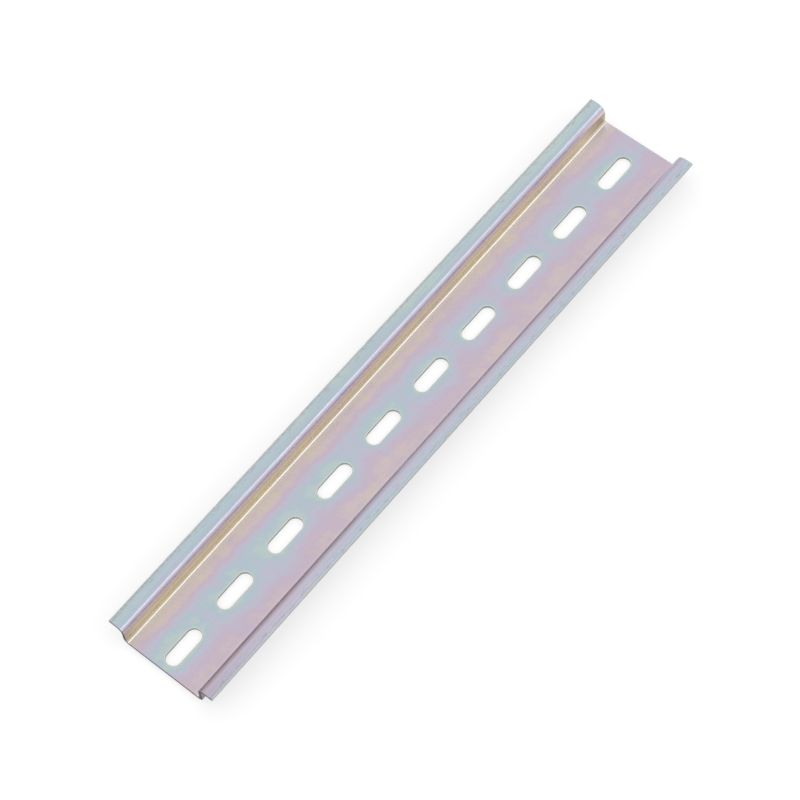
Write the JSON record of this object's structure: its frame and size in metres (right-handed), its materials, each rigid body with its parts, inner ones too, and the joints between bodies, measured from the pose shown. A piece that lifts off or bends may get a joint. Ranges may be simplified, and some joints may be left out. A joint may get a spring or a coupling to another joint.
{
  "type": "din rail",
  "caption": "Slotted mounting rail of top hat section, rolled from zinc plated steel strip and cut to a short length, with a row of round-ended slots in its web.",
  "frame": {"origin": "middle of the rail's length and width, on the back of the web that meets the wall or the floor", "axes": "+X along the length, towards the end with the longer margin beyond its last slot; +Y across the rail; +Z away from the wall it is screwed to, up as it lies"},
  "size_m": [0.2, 0.035, 0.0075],
  "materials": {
    "zinc_plated_steel": "zinc plating with a thin coloured passivation film, satin"
  },
  "bodies": {
    "root": {"rail": "zinc_plated_steel"}
  },
  "joints": []
}
